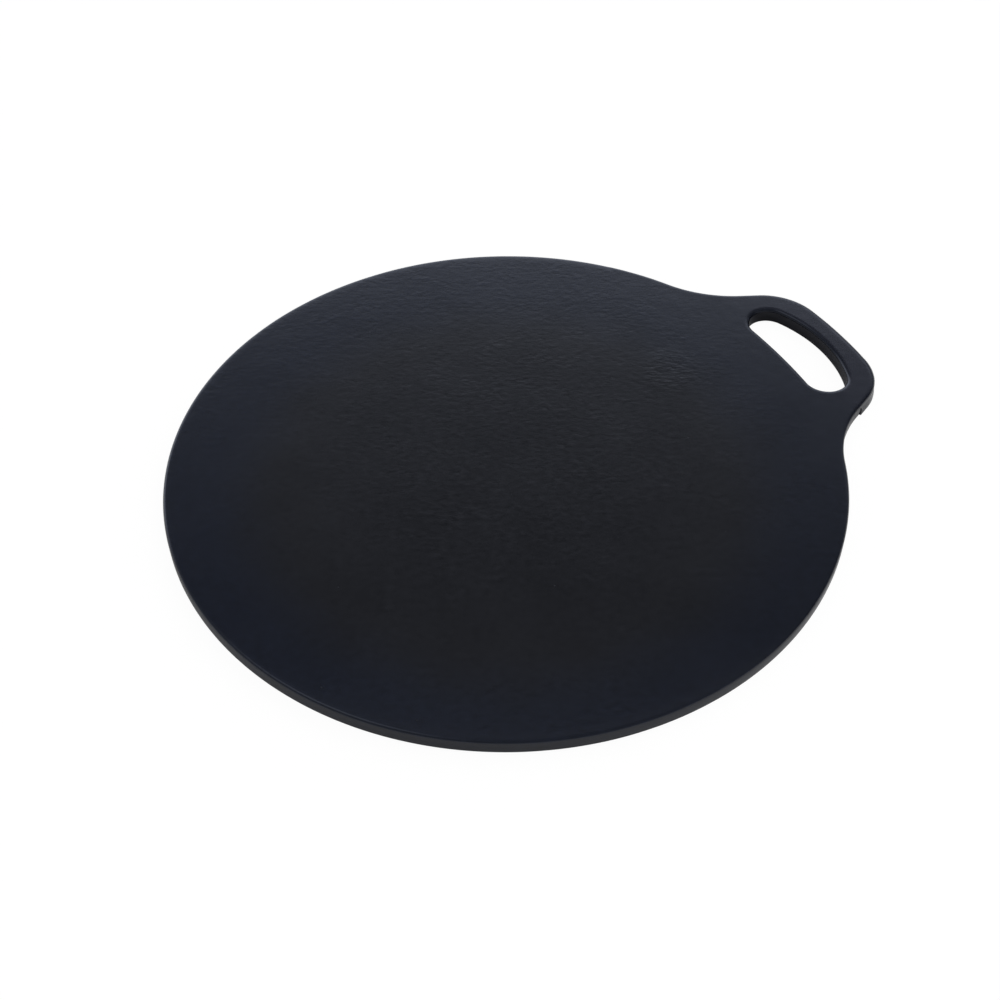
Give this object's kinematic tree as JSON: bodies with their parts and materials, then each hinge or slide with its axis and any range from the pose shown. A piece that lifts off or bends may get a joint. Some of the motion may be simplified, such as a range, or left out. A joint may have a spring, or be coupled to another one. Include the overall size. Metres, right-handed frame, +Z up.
{
  "type": "cast iron tawa",
  "caption": "Flat round griddle plate with an integral loop handle, a finger slot, and a ring under its rim to stand on; black seasoned iron.",
  "frame": {"origin": "centre of the round plate on its flat cooking face; the plane the tawa stands on is 9.5 mm below", "axes": "+X from the plate's centre out along the handle, +Z up out of the cooking face, +Y to the left of the handle seen from above"},
  "size_m": [0.4252, 0.381, 0.0095],
  "materials": {
    "seasoned_iron": "sand-cast iron with a satin blue-black burnt-on oil seasoning, fine orange peel and shallow ripples"
  },
  "bodies": {
    "root": {"tawa_casting": "seasoned_iron"}
  },
  "joints": []
}
